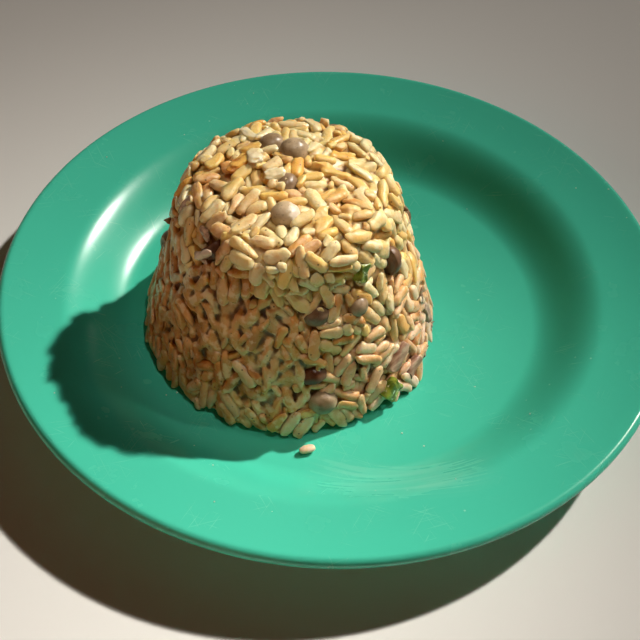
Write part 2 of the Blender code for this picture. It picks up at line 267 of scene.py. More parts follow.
bm = bmesh.new()
bmesh.ops.create_grid(bm, x_segments=8, y_segments=8, size=FLOOR_HALF)
floor_finish = Finish("pale_floor", Roughness=0.75, Specular_IOR_Level=0.25)
floor_tint = floor_finish.mix(FLOOR_COLOUR, FLOOR_SHADE, floor_finish.mottle(0.22, 3.0))
floor = finished("floor", bm, floor_finish.surface(Base_Color=floor_tint))


# ---- The plate -----------------------------------------------------------------------------
# A thick round side plate pressed from green melamine in one piece: flat well, soft cove, wide
# rim, rounded lip and a foot ring. Its gloss is worn satin by washing, with fine scratches.
PLATE_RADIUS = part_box("plate")[1].x
PLATE_STEPS = 224
FLOOR_TOP = 0.0040
FLOOR_UNDER = 0.0012
WALL = 0.0030
COVE_START = 0.0565
COVE_END = 0.0750
UNDER_COVE_START = 0.0595
UNDER_LIP = 0.0840
COVE_RISE = 0.0098
RIM_RISE = 0.0039
LIP_RADIUS = 0.00175
FOOT_RADIUS = 0.0555
FOOT_WIDTH = 0.0024
FOOT_EDGE = 0.0004
# how many points the outline has in each stretch
WELL_POINTS = 8
RIM_POINTS = 46
LIP_POINTS = 15
UNDER_POINTS = 22
FOOT_POINTS = 5
MIDDLE_POINTS = 6

MELAMINE = (0.067, 0.560, 0.392)
MELAMINE_DEEP = (0.058, 0.525, 0.362)
STARCH_FILM = (0.42, 0.74, 0.60)
SCRATCH_TURNS = (20, 65, 118, 160)
SCRATCH_STRETCH = (0.012, 0.00030, 0.030)
# a dried smear in the near cove: arcs about a centre, between two distances and two sides
SMEAR_CENTRE = (0.020, 0.020, 0.0)
SMEAR_LINE = 0.0011
SMEAR_LENGTH = 0.030
SMEAR_NEAR = (0.073, 0.078)
SMEAR_FAR = (0.087, 0.094)
SMEAR_LEFT = (-0.010, 0.010)
SMEAR_RIGHT = (0.028, 0.044)


def spaced(start, end, count):
    """Evenly spaced values from start to end, both included."""
    return [start + (end - start) * i / (count - 1) for i in range(count)]


def ramp(value, low, high):
    """0 at low, 1 at high, in a straight line between and level outside."""
    return min(max((value - low) / (high - low), 0.0), 1.0)


def plate_top(radius):
    """Height of the eating surface at a distance from the centre."""
    cove = ramp(radius, COVE_START, COVE_END)
    reach = max((radius - COVE_START) / (PLATE_RADIUS - COVE_START), 0.0)
    return FLOOR_TOP + COVE_RISE * cove * cove * (3 - 2 * cove) + RIM_RISE * reach * reach


def plate_under(radius):
    """Point a wall's thickness below the eating surface, square to it."""
    step = 0.0001
    slope = atan((plate_top(radius + step) - plate_top(radius - step)) / (2 * step))
    return radius + WALL * sin(slope), plate_top(radius) - WALL * cos(slope)


def plate_outline():
    """The plate's half outline: top surface, lip, underside, foot ring, middle."""
    lip_middle = PLATE_RADIUS - LIP_RADIUS
    lip_height = plate_top(lip_middle) - LIP_RADIUS
    outline = [(r, plate_top(r)) for r in spaced(0.0, COVE_START, WELL_POINTS)[:-1]]
    outline += [(r, plate_top(r)) for r in spaced(COVE_START, lip_middle, RIM_POINTS)[:-1]]
    for turn in spaced(radians(90), radians(-90), LIP_POINTS):
        outline.append((lip_middle + LIP_RADIUS * cos(turn), lip_height + LIP_RADIUS * sin(turn)))
    outline += [plate_under(r) for r in spaced(UNDER_LIP, UNDER_COVE_START, UNDER_POINTS)]
    for edge, first in ((FOOT_RADIUS - FOOT_EDGE, 0), (FOOT_RADIUS - FOOT_WIDTH, -90)):
        for turn in spaced(radians(first), radians(first - 90), FOOT_POINTS):
            outline.append((edge + FOOT_EDGE * cos(turn), FOOT_EDGE + FOOT_EDGE * sin(turn)))
    outline.append((FOOT_RADIUS - FOOT_WIDTH - FOOT_EDGE, FLOOR_UNDER))
    middle = spaced(FOOT_RADIUS - 2 * FOOT_WIDTH, 0.0, MIDDLE_POINTS)
    return outline + [(r, FLOOR_UNDER) for r in middle]


def turned(outline, steps, centre=(0.0, 0.0, 0.0)):
    """A bmesh turned from a half outline that runs from the top of the axis to its foot."""
    bm = bmesh.new()
    points = [bm.verts.new((radius, 0.0, height)) for radius, height in outline]
    edges = [bm.edges.new(pair) for pair in zip(points, points[1:])]
    bmesh.ops.spin(
        bm, geom=points + edges, cent=(0, 0, 0), axis=(0, 0, 1), angle=2 * pi,
        steps=steps, use_merge=True,
    )
    bmesh.ops.remove_doubles(bm, verts=bm.verts, dist=0.000001)
    bmesh.ops.translate(bm, verts=bm.verts, vec=centre)
    return bm


def melamine():
    """Satin green melamine with fine washing scratches and a little dried starch."""
    finish = Finish("melamine", Specular_IOR_Level=0.46)
    cloud = finish.mottle(0.05, 3.0)
    colour = finish.mix(MELAMINE, MELAMINE_DEEP, cloud)
    scratches = 0.0
    for turn in SCRATCH_TURNS:
        where = finish.mapped(SCRATCH_STRETCH, (0.0, 0.0, radians(turn)))
        line = finish.mottle(1.0, 1.0, where).step(0.68, 0.74)
        scratches = line * finish.mottle(0.014, 1.0).step(0.50, 0.65) + scratches
    across = finish.node("ShaderNodeSeparateXYZ", None, {0: finish.place}, "X")
    inputs = {0: finish.place, 1: SMEAR_CENTRE}
    reach = finish.node("ShaderNodeVectorMath", {"operation": "DISTANCE"}, inputs, "Value")
    strokes = {0: reach * (1 / SMEAR_LINE), 1: across * (1 / SMEAR_LENGTH)}
    strokes = finish.mottle(1.0, 2.0, finish.node("ShaderNodeCombineXYZ", None, strokes))
    smear = strokes.step(0.40, 0.70) * 0.8 + 0.2
    smear = smear * reach.step(*SMEAR_NEAR) * (1.0 - reach.step(*SMEAR_FAR))
    smear = smear * across.step(*SMEAR_LEFT) * (1.0 - across.step(*SMEAR_RIGHT))
    dots = finish.specks(0.0065, 0.050) * finish.mottle(0.03, 2.0).step(0.46, 0.60)
    film = (scratches * 0.10 + smear * 0.26 + dots * 0.50).least(1.0)
    colour = finish.mix(colour, STARCH_FILM, film)
    roughness = finish.mottle(0.012, 4.0) * 0.10 + 0.21 + film * 0.25
    ripple = finish.bump(finish.mottle(0.018, 2.0), 0.00006)
    fine = finish.bump(film, 0.000008, ripple)
    return finish.surface(Base_Color=colour, Roughness=roughness, Normal=fine)


plate = finished("plate_melamine", turned(plate_outline(), PLATE_STEPS), melamine())
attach(plate, "root")
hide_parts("plate")


# ---- The crumbs on the plate ---------------------------------------------------------------
# Specks of dried starch and broken rice that fell on the plate when the mound was turned out.
CRUMB_PLACES = (
    (0.0189, -0.0440), (0.0812, 0.0380), (0.0720, 0.0397), (0.0850, 0.0262), (0.0520, -0.0409),
    (0.0310, -0.0650), (0.0245, -0.0480), (-0.0690, 0.0480),
)
CRUMB_COUNT = 16
CRUMB_SIZE = (0.00012, 0.00026)
CRUMB_RING = (0.045, 0.088)
CRUMB_LUMP = 0.0003
CRUMB_FLATNESS = 0.45
CRUMB_SINK = 0.00004
CRUMB_PALE = (0.72, 0.80, 0.66)
CRUMB_DARK = (0.52, 0.64, 0.50)


def crumb_bmesh():
    """All the crumbs: small uneven grains that rest on the eating surface."""
    rng = Random(4)
    places = list(CRUMB_PLACES)
    for _ in range(CRUMB_COUNT):
        radius, turn = rng.uniform(*CRUMB_RING), rng.uniform(-pi, pi)
        places.append((radius * cos(turn), radius * sin(turn)))
    bm = bmesh.new()
    for x, y in places:
        older = len(bm.verts)
        bmesh.ops.create_icosphere(bm, subdivisions=2, radius=rng.uniform(*CRUMB_SIZE))
        bm.verts.ensure_lookup_table()
        new = bm.verts[older:]
        seed = Vector((900 * x, 0.0, 0.0))
        for vertex in new:
            vertex.co *= 1.0 + 0.5 * noise.noise(vertex.co / CRUMB_LUMP + seed)
            vertex.co.z *= CRUMB_FLATNESS
        lowest = min(vertex.co.z for vertex in new)
        height = plate_top(hypot(x, y)) - lowest - CRUMB_SINK
        bmesh.ops.translate(bm, verts=new, vec=(x, y, height))
    return bm


crumb_finish = Finish("dried_starch", Roughness=0.5)
crumb_tint = crumb_finish.mix(CRUMB_PALE, CRUMB_DARK, crumb_finish.mottle(0.001))
crumbs = crumb_finish.surface(Base_Color=crumb_tint)
crumbs = finished("plate_crumbs", crumb_bmesh(), crumbs)
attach(crumbs, "root")


# ---- The pigeon peas -----------------------------------------------------------------------
# Boiled whole peas with their skins on, pressed into the rice. Each is a slightly flattened
# ball with a faint seam; some skins have wrinkled or split.
MOUND_CENTRE = Vector((-0.0118, -0.0052, 0.0))
CORE_HEIGHT = 0.0562
PEA_NAMES = sorted(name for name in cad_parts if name.startswith("pea_"))
PEA_LOOKS = {
    # name: (tint from grey-brown 0 to dark red-brown 1 and paler below 0, wrinkles, split share,
    # how far it has fallen in, how deep it sank, how much of its width keeps the rice off it)
    "pea_top_back": (0.20, 0.5, 0.0, 0.0, 0.0006, 0.55),
    "pea_top_middle": (-0.05, 0.5, 0.0, 0.0, 0.0004, 0.74),
    "pea_top_front": (-0.50, 1.0, 0.42, 0.0, 0.0004, 0.76),
    "pea_top_sunk": (0.45, 0.8, 0.0, 0.0, 0.0010, 0.45),
    "pea_right_shoulder": (0.85, 2.0, 0.0, 0.35, 0.0004, 0.55),
    "pea_front_upper": (0.80, 1.2, 0.0, 0.0, 0.0016, 0.50),
    "pea_front_small": (0.35, 0.6, 0.0, 0.0, 0.0004, 0.60),
    "pea_front_lower": (1.0, 2.5, 0.0, 0.45, 0.0006, 0.50),
    "pea_front_base": (0.30, 0.7, 0.0, 0.0, 0.0034, 0.12),
    "pea_left_hollow": (1.0, 2.0, 0.0, 1.0, -0.0004, 1.25),
}
OTHER_PEA = (0.5, 0.8, 0.0, 0.0, 0.0, 0.55)
PEA_DETAIL = 4
# sizes in shares of a pea's half width
PEA_FILL = 0.982
SEAM_WIDTH = 0.07
SEAM_DEPTH = 0.045
WRINKLE_DEPTH = 0.030
DENT_DEPTH = 0.03
TORN_DEPTH = 0.06
CAVE_DEPTH = 1.7
GREY_SKIN = np.array((0.285, 0.195, 0.105))
DARK_SKIN = np.array((0.095, 0.028, 0.010))
PALE_SKIN = np.array((0.62, 0.46, 0.30))
TORN_FLESH = (0.72, 0.60, 0.47)


def lie_of(node):
    """Where a CAD node lies: X along its longest side, Z along its shortest, out of the mound."""
    corners = np.array([v.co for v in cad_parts[node].data.vertices])
    lowest, highest = (Vector(corner) for corner in (corners.min(0), corners.max(0)))
    centre = (lowest + highest) / 2
    _, axes = np.linalg.eigh(np.cov((corners - corners.mean(0)).T))
    long_way, out_way = Vector(axes[:, 2]), Vector(axes[:, 0])
    if out_way.dot(centre - MOUND_CENTRE - Vector((0, 0, 0.5 * CORE_HEIGHT))) < 0:
        out_way = -out_way
    if long_way.dot(Vector((1, 0, 0.3))) < 0:
        long_way = -long_way
    across = out_way.cross(long_way)
    turn = Matrix((long_way, across, out_way)).transposed()
    local = (corners - np.array(centre)) @ np.array(turn)
    half = (local.max(0) - local.min(0)) / 2
    return Matrix.Translation(centre) @ turn.to_4x4(), Vector(half)


def random_place(rng, side):
    """A place drawn in a cube, so that each piece meets the noise elsewhere."""
    return Vector((rng.uniform(0, side), rng.uniform(0, side), rng.uniform(0, side)))


def pea_bmesh(node, wrinkle, split, fallen, sunk, rng):
    """One pea: a round form with a seam, wrinkles, and a torn or fallen-in skin."""
    lie, half = lie_of(node)
    bm = bmesh.new()
    bmesh.ops.create_icosphere(bm, subdivisions=PEA_DETAIL, radius=1.0)
    torn = bm.verts.layers.float.new("torn")
    line = bm.verts.layers.float.new("seam")
    seed = random_place(rng, 50)
    for vertex in bm.verts:
        way = vertex.co.normalized()
        off_seam = way.y + 0.35 * way.x * way.x - 0.10
        seam = exp(-(off_seam / SEAM_WIDTH) ** 2) * max(way.z, 0.0)
        folds = noise.noise(Vector((way.x * 1.4, way.y * 4.0, way.z * 1.4)) + seed)
        dents = noise.noise(way * 2.2 + seed)
        size = PEA_FILL - SEAM_DEPTH * seam - WRINKLE_DEPTH * wrinkle * abs(folds) + DENT_DEPTH * dents
        edge = way.x + 0.22 * noise.noise(way * 5.0 + seed)
        tear = 1.0 - 1.6 * split
        open_skin = ramp(edge, tear, tear + 0.06) if split else 0.0
        size -= TORN_DEPTH * open_skin * (1 + noise.noise(way * 9.0 + seed))
        vertex[torn], vertex[line] = open_skin, seam
        mouth = ramp(way.z - 0.18 * noise.noise(way * 3.0 + seed), 0.12, 0.52)
        x, y, z = (way[i] * half[i] * size for i in range(3))
        vertex.co = Vector((x, y, z * (1.0 - CAVE_DEPTH * fallen * mouth) - sunk))
    bmesh.ops.transform(bm, verts=bm.verts, matrix=lie)
    return bm


def pea_skin(name, tint, number):
    """Boiled pea skin: grey-brown to dark red-brown, mottled, with a soft shine."""
    finish = Finish(name, Specular_IOR_Level=0.36)
    shift = (0.013 * number, 0.0, 0.0)
    cloud = finish.mottle(1.0, 3.0, finish.mapped((0.0035, 0.0035, 0.0035), shift=shift))
    body = GREY_SKIN + (DARK_SKIN - GREY_SKIN) * tint
    light = body + (PALE_SKIN - body) * (0.55 - 0.47 * tint)
    colour = finish.mix(tuple(body), tuple(light), cloud.step(0.38, 0.68))
    spots = finish.mottle(0.0007, 2.0).step(0.60, 0.70)
    lined = (spots * 0.5 + finish.attribute("seam") * 0.7).least(1.0)
    colour = finish.mix(colour, tuple(0.45 * body), lined)
    colour = finish.mix(colour, TORN_FLESH, finish.attribute("torn"))
    grain = finish.bump(finish.mottle(0.0006, 3.0), 0.00006)
    return finish.surface(Base_Color=colour, Roughness=cloud * 0.20 + 0.20, Normal=grain)


pea_draw = Random(11)
for number, node in enumerate(PEA_NAMES):
    tint, wrinkle, split, fallen, sunk, _ = PEA_LOOKS.get(node, OTHER_PEA)
    skin = pea_skin(node + "_skin", tint, number)
    pea = pea_bmesh(node, wrinkle, split, fallen, sunk, pea_draw)
    pea = finished(node + "_skin", pea, skin)
    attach(pea, "root")
    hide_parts(node)


# ---- The diced pepper and ham --------------------------------------------------------------
# Small pieces cut by hand and cooked soft: green pepper with a wet skin, and reddish-brown ham
# in short strips. Their corners are rounded and their faces wavy.
DICED_NAMES = sorted(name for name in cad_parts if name.split("_")[0] in ("pepper", "ham"))
DICED_ROUNDING = 0.45
DICED_FIT = 0.95
BEND_DEPTH = 0.00065
BEND_SIZE = 0.0026
DICED_DENT = 0.00035
DICED_DENT_SIZE = 0.0010
DICED_LOWERED = 0.0003
PEPPER_DARK = (0.080, 0.115, 0.008)
PEPPER_BRIGHT = (0.36, 0.40, 0.055)
PEPPER_PITH = (0.62, 0.64, 0.38)
HAM_DARK = (0.28, 0.125, 0.075)
HAM_PALE = (0.56, 0.37, 0.25)


def diced_bmesh(node, rng):
    """One cut piece: a block with round edges, bent and dented by cooking."""
    lie, half = lie_of(node)
    bm = bmesh.new()
    bmesh.ops.create_cube(bm, size=2.0)
    bmesh.ops.scale(bm, verts=bm.verts, vec=half)
    bmesh.ops.bevel(
        bm, geom=bm.edges, offset=DICED_ROUNDING * min(half), segments=3, profile=0.5,
        affect="EDGES", material=-1,
    )
    bmesh.ops.subdivide_edges(bm, edges=bm.edges, cuts=3, use_grid_fill=True)
    seed = random_place(rng, 9)
    for vertex in bm.verts:
        vertex.co += noise.noise_vector(vertex.co / BEND_SIZE + seed) * BEND_DEPTH
        dent = DICED_DENT * noise.noise(vertex.co / DICED_DENT_SIZE + seed)
        vertex.co.z += dent - DICED_LOWERED
        vertex.co *= DICED_FIT
    bmesh.ops.transform(bm, verts=bm.verts, matrix=lie)
    return bm


def pepper_flesh():
    """Cooked green pepper: olive to bright green, wet and a little see-through."""
    finish = Finish(
        "pepper_flesh", Subsurface_Weight=0.3, Subsurface_Scale=0.0012,
        Subsurface_Radius=(0.8, 1.0, 0.5),
    )
    cloud = finish.mottle(0.0022, 3.0)
    colour = finish.mix(PEPPER_DARK, PEPPER_BRIGHT, cloud.step(0.40, 0.64))
    colour = finish.mix(colour, PEPPER_PITH, finish.mottle(0.0012, 2.0).step(0.58, 0.72))
    wrinkle = finish.bump(finish.mottle(0.0009, 3.0), 0.0003)
    return finish.surface(Base_Color=colour, Roughness=cloud * 0.2 + 0.08, Normal=wrinkle)


def ham_flesh():
    """Cooked ham: reddish brown with paler fibres and a dull shine."""
    finish = Finish("ham_flesh")
    fibre = finish.mottle(1.0, 3.0, finish.mapped((0.0030, 0.0009, 0.0030), (0.4, 0.3, 0.9)))
    colour = finish.mix(HAM_DARK, HAM_PALE, fibre.step(0.30, 0.74))
    grain = finish.bump(fibre, 0.0001)
    return finish.surface(Base_Color=colour, Roughness=fibre * 0.25 + 0.28, Normal=grain)


diced_finish = {"pepper": pepper_flesh(), "ham": ham_flesh()}
dice_draw = Random(5)
for node in DICED_NAMES:
    kind = node.split("_")[0]
    piece = finished(node + "_piece", diced_bmesh(node, dice_draw), diced_finish[kind])
    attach(piece, "root")
    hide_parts(node)


# ---- The mound's form ----------------------------------------------------------------------
# Cooked rice pressed into a deep cup and turned out: a leaning side, a round shoulder and a
# low crown. Low on the left the cup's wall has pressed the grains into one another; on the
# shoulder and the top they lie loosely.
GAP = 0.0003
MOUND_BASE = FLOOR_TOP + GAP
CORE_RADIUS = 0.0408
CROWN = 0.0026
SIDE_LEAN = radians(15.9)
SHOULDER = 0.0095
BASE_ROUNDING = 0.0012
OUTLINE_STEPS = 13
LUMP_HEIGHT = 0.0011
LUMP_SIZE = 0.0085
SLOW_LUMP_SIZE = 0.0200
SLOW_LUMP_SHARE = 0.8
PRESSED_TURN = radians(-122)
PRESSED_REACH = radians(63)
PRESSED_LEAST = 0.35
PRESSED_TOP = (0.66, 0.82)
CROWN_FROM = (0.88, 0.96)
CROWN_TURN = radians(10)
CROWN_PRESSED = 0.50
CROWN_SWAY = 0.16
PATCH_SIZE = 0.012
LEDGE_TURN = radians(-92)
LEDGE_REACH = radians(80)
LEDGE_HEIGHT = 0.875
LEDGE_SPREAD = 0.055
LEDGE_RISE = 0.0020
# where rice broke away or a pea left a dent: turn in degrees, share of the path, reach, depth
HOLLOWS = (
    (-140, 0.605, 0.0066, 0.0030),
    (-143, 0.510, 0.0022, 0.0012),
    (-110, 0.553, 0.0024, 0.0022),
    (-107, 0.500, 0.0016, 0.0022),
    (-98, 0.466, 0.0022, 0.0024),
    (-115, 0.455, 0.0028, 0.0024),
    (-56, 0.560, 0.0030, 0.0014),
    (-48, 0.415, 0.0026, 0.0014),
    (-128, 0.150, 0.0020, 0.0016),
    (-70, 0.250, 0.0026, 0.0014),
    (-95, 0.120, 0.0022, 0.0014),
    (176, 0.780, 0.0035, 0.0014),
    (-160, 0.880, 0.0030, 0.0014),
    (-72, 0.900, 0.0026, 0.0012),
)


def core_outline():
    """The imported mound's half outline, from the top of its axis to the edge of its base."""
    arc_height = CORE_HEIGHT - CROWN - SHOULDER
    arc_radius = CORE_RADIUS - arc_height * tan(SIDE_LEAN) - SHOULDER / cos(SIDE_LEAN)
    crown_slope = atan(2 * CROWN / arc_radius)
    outline = []
    for radius in spaced(0.0, arc_radius + SHOULDER * sin(crown_slope), OUTLINE_STEPS)[:-1]:
        outline.append((radius, CORE_HEIGHT - CROWN * (radius / arc_radius) ** 2))
    for turn in spaced(radians(90) - crown_slope, SIDE_LEAN, OUTLINE_STEPS):
        outline.append((arc_radius + SHOULDER * cos(turn), arc_height + SHOULDER * sin(turn)))
    side_top = outline[-1]
    side_foot = (CORE_RADIUS - BASE_ROUNDING * tan(SIDE_LEAN), BASE_ROUNDING)
    for share in spaced(0.0, 1.0, 3 * OUTLINE_STEPS)[1:]:
        outline.append(tuple(a + (b - a) * share for a, b in zip(side_top, side_foot)))
    outline.append((CORE_RADIUS - BASE_ROUNDING, 0.0))
    return outline


path_points = list(reversed(core_outline()[:-1]))
path_lengths = [0.0]
path_areas = [0.0]
for (r1, z1), (r2, z2) in zip(path_points, path_points[1:]):
    stride = hypot(r2 - r1, z2 - z1)
    path_lengths.append(path_lengths[-1] + stride)
    path_areas.append(path_areas[-1] + (r1 + r2) * stride)


def bare(turn, share, by_area=False):
    """The even mound's surface point and outward direction at a turn and a share of its path."""
    steps = path_areas if by_area else path_lengths
    target = min(max(share, 0.0), 0.9999) * steps[-1]
    index = int(np.searchsorted(steps, target, side="right")) - 1
    part = (target - steps[index]) / (steps[index + 1] - steps[index])
    (r1, z1), (r2, z2) = path_points[index], path_points[index + 1]
    radius, height = r1 + (r2 - r1) * part, z1 + (z2 - z1) * part
    length = hypot(z2 - z1, r1 - r2)
    lean, rise = (z2 - z1) / length, (r1 - r2) / length
    outward = Vector((lean * cos(turn), lean * sin(turn), rise))
    point = Vector((radius * cos(turn), radius * sin(turn), height + MOUND_BASE)) + MOUND_CENTRE
    return point, outward


def height_share(point):
    """Height above the plate as a share of the mound's."""
    return (point.z - MOUND_BASE) / CORE_HEIGHT


def turn_off(point, turn):
    """Angle round the mound between a point and a turn, 0 to pi."""
    here = atan2(point.y - MOUND_CENTRE.y, point.x - MOUND_CENTRE.x)
    return abs((here - turn + pi) % (2 * pi) - pi)


hollow_places = [
    (bare(radians(turn), share)[0], reach, depth) for turn, share, reach, depth in HOLLOWS
]


def hollowed(point):
    """How deep in a hollow a point lies, in metres and as a share."""
    deep, most = 0.0, 0.0
    for place, reach, depth in hollow_places:
        near = exp(-((point - place).length / reach) ** 2)
        deep, most = deep + depth * near, max(most, near)
    return deep, most


def lump(point):
    """How far the mound stands proud at a point, from unevenness, the ledge and the hollows."""
    slow = noise.noise(point / SLOW_LUMP_SIZE)
    quick = noise.noise(point / LUMP_SIZE)
    ledge = exp(-((height_share(point) - LEDGE_HEIGHT) / LEDGE_SPREAD) ** 2)
    ledge *= max(1.0 - (turn_off(point, LEDGE_TURN) / LEDGE_REACH) ** 2, 0.0)
    return LUMP_HEIGHT * (SLOW_LUMP_SHARE * slow + quick) + LEDGE_RISE * ledge - hollowed(point)[0]


def on_mound(turn, share, by_area=False):
    """The uneven mound's surface point and outward direction."""
    point, outward = bare(turn, share, by_area)
    return point + outward * lump(point), outward


def pressed(point):
    """How far the cup pressed the rice smooth: 1 low on the left, least on the shoulder."""
    height = height_share(point)
    side = max(1.0 - (turn_off(point, PRESSED_TURN) / PRESSED_REACH) ** 3, PRESSED_LEAST)
    side *= 1.0 - ramp(height, *PRESSED_TOP)
    crown = CROWN_PRESSED + CROWN_SWAY * cos(turn_off(point, CROWN_TURN))
    crown *= ramp(height, *CROWN_FROM)
    return ramp((side + crown) * (1.0 + 0.8 * noise.noise(point / PATCH_SIZE)), 0.0, 1.0)


# ---- How the grains lie --------------------------------------------------------------------
# Long-grain rice cooked in stock until plump. Every grain is fitted beside those already laid,
# in three layers, so that it touches its neighbours and presses a little into them.
GRAIN_LENGTH = (0.0058, 0.0090)
GRAIN_WIDTH = (0.0028, 0.0038)
FOOT_LENGTH = (0.0068, 0.0096)
FOOT_WIDTH = (0.0030, 0.0039)
BIT_LENGTH = (0.0028, 0.0052)
BIT_WIDTH = (0.0020, 0.0029)
TILT = radians(14)
SPINS = 10
SPINE = np.array((-1.0, -0.5, 0.0, 0.5, 1.0))
NO_ROOM = 1.0
CROWD_CELL = 0.005
# where the cup pressed the rice the grains lie deeper, thinner and more upright
PRESSED_DEEPER = 0.0008
PRESSED_THINNER = 0.18
UPRIGHT_FROM = 0.6
UPRIGHT_SPINS = (radians(45), radians(90))
# depth of the middle line below the surface, its spread, how many places are tried, and how
# deep a grain may press into its neighbours
TOP_LAYER = (0.0003, 0.0006, 5200, 0.00090)
DEEP_LAYERS = ((0.0012, 0.0004, 3600, 0.00120), (0.0022, 0.0004, 1200, 0.00120))
BIT_LAYER = (0.0003, 0.0006, 2400, 0.00090)
FOOT_LAYER = (0.0000, 0.0005, 420, 0.00080)
FOOT_SHARE = 0.11
STUCK_FROM = (0.30, 0.95)
SEED = 21
DICED_SUNK = 0.0005
DICED_COVER = 0.35


class Crowd:
    """The balls that the food already takes up, in coarse cells so that near ones are found."""

    def __init__(self, cell):
        self.cell, self.cells = cell, {}

    def key(self, point):
        return tuple(int(c // self.cell) for c in point)

    def add(self, points, radius):
        for point in points:
            self.cells.setdefault(self.key(point), []).append((*point, radius))

    def near(self, point):
        x, y, z = self.key(point)
        found = []
        for i in (x - 1, x, x + 1):
            for j in (y - 1, y, y + 1):
                for k in (z - 1, z, z + 1):
                    found += self.cells.get((i, j, k), ())
        return np.array(found or [(1.0, 1.0, 1.0, 0.0)])


def tangents(outward):
    """Two directions square to outward: level, and rising up the mound."""
    level = Vector((0.0, 0.0, 1.0)).cross(outward)
    level = level.normalized() if level.length > 0.05 else Vector((1.0, 0.0, 0.0))
    return level, outward.cross(level)


def fitted(crowd, point, outward, length, width, tilt, first_spin, spread, squash):
    """The spin at which a grain fits closest to its neighbours, as its spine, or None."""
    level, rising = tangents(outward)
    spins = first_spin + spread * np.arange(SPINS) / SPINS
    along = np.outer(np.cos(spins), level) + np.outer(np.sin(spins), rising)
    along = along * cos(tilt) + np.array(outward) * sin(tilt)
    reach = 0.5 * (length - width)
    spines = np.array(point) + along[:, None, :] * (SPINE * reach)[None, :, None]
    lowest = spines[:, :, 2].min(1) - 0.5 * width
    spines[:, :, 2] += np.maximum(MOUND_BASE - lowest, 0.0)[:, None]
    others = crowd.near(point)
    far = np.linalg.norm(spines[:, :, None, :] - others[None, None, :, :3], axis=3)
    room = (far - others[None, None, :, 3] - 0.5 * width).min((1, 2)) + squash
    room[room < 0] = NO_ROOM
    best = int(room.argmin())
    return None if room[best] == NO_ROOM else (spines[best], along[best])


def lay_grains(crowd, rng, layer, lengths, widths, top_share=1.0):
    """Try many places over the mound at one depth, and keep every grain that fits."""
    depth, spread, tries, squash = layer
    grains = []
    for _ in range(tries):
        turn, share = rng.uniform(-pi, pi), top_share * rng.random()
        surface, outward = on_mound(turn, share, by_area=True)
        flat = pressed(surface)
        point = surface - outward * (depth + rng.uniform(-spread, spread) + PRESSED_DEEPER * flat)
        length, width = rng.uniform(*lengths), rng.uniform(*widths) * (1.0 - PRESSED_THINNER * flat)
        tilt = rng.gauss(0.0, TILT * (1 - 0.5 * flat))
        first, sweep = (0.0, pi) if flat < UPRIGHT_FROM else UPRIGHT_SPINS
        first += rng.uniform(0, sweep / SPINS)
        found = fitted(crowd, point, outward, length, width, tilt, first, sweep, squash)
        if found:
            spine, along = found
            crowd.add(spine, 0.5 * width)
            grains.append((spine, Vector(along), outward, surface, length, width, flat))
    return grains


crowd = Crowd(CROWD_CELL)
for node in PEA_NAMES + DICED_NAMES:
    lie, half = lie_of(node)
    sunk, cover = PEA_LOOKS.get(node, OTHER_PEA)[-2:]
    if node in DICED_NAMES:
        sunk, cover = DICED_SUNK, DICED_COVER
    reach = max(half.x - half.y, 0.0)
    line = [lie @ Vector((side * reach, 0.0, -sunk)) for side in SPINE]
    crowd.add(line, cover * half.y)

grain_draw = Random(SEED)
foot = lay_grains(crowd, grain_draw, FOOT_LAYER, FOOT_LENGTH, FOOT_WIDTH, FOOT_SHARE)
top = lay_grains(crowd, grain_draw, TOP_LAYER, GRAIN_LENGTH, GRAIN_WIDTH)
bits = lay_grains(crowd, grain_draw, BIT_LAYER, BIT_LENGTH, BIT_WIDTH)
deep = []
for layer in DEEP_LAYERS:
    deep += lay_grains(crowd, grain_draw, layer, GRAIN_LENGTH, GRAIN_WIDTH)
melted, free = [], []
for grain in top:
    stuck = grain[-1] > grain_draw.uniform(*STUCK_FROM)
    (melted if stuck else free).append(grain)
free += foot


# ---- The stuck rice ------------------------------------------------------------------------
# Deeper grains, and those that the cup's wall pressed flat, have run together with broken rice
# and starch into one moist mass. Its creases are soft, with painted shade darkening them.
GRAIN_SHAPES = 20
GRAIN_SIDES = 8
GRAIN_RINGS = 9
FREE_HEIGHT = 0.0009
PRESSED_HEIGHT = 0.0003
WARP = 0.00060
WARP_SIZE = 0.0024
PUSHED_BACK = 0.85
CORE_SINK = 0.0018
CORE_RISE = 0.0010
CORE_STEPS = 160
CORE_CLUMP = 0.0008
CORE_CLUMP_SIZE = 0.0033
CORE_CRUMB_SIZE = 0.0015
STUCK_VOXEL = 0.00042
STUCK_TRIANGLES = 190000
# how deep in a crease a point of the stuck skin lies, which sets its painted shade
CREASE_PASSES = 6
CREASE_DEPTH = 0.00028
# grains darken with painted shade from this depth below the surface, fully at this much more
GAP_FROM = 0.0004
GAP_DEPTH = 0.0018
# where the rice is pale, and where it is browned and painted darker as shade, in shares of the mound's
# height
DRIFT = 0.25
DRIFT_SIZE = 0.012
PALE_BELOW = (0.62, 0.28)
BROWNED_AND_SHADED_BELOW = (0.84, 0.64)
FOOT_BELOW = (0.26, 0.12)
RIGHT_TURN = radians(-8)
LESS_BROWNED_AND_SHADED_TURNS = (radians(60), radians(110))
TONE_SPREAD = 0.26
STAIN_AND_SHADE_SPREAD = 0.30

GOLD_PALE = (0.79, 0.68, 0.40)
GOLD_DEEP = (0.78, 0.54, 0.175)
WET_PALE = (0.84, 0.58, 0.43)
WET_DEEP = (0.66, 0.36, 0.20)
AMBER = (0.76, 0.37, 0.055)
VEIN = (0.82, 0.50, 0.15)
# stock brown, also standing for painted shade low on the left and front
BROWNED_AND_SHADED = (0.66, 0.30, 0.078)
STOCK = (0.44, 0.16, 0.030)
STARCH = (0.90, 0.72, 0.48)
TIP = (0.95, 0.78, 0.50)
# painted shade: gold in the creases on the top, dark brown in the others, near black in deep holes
GOLD_CREASE_SHADE = (0.40, 0.20, 0.048)
DARK_CREASE_SHADE = (0.11, 0.038, 0.009)
HOLE_SHADE = (0.070, 0.020, 0.006)
FLECK = (0.07, 0.035, 0.015)


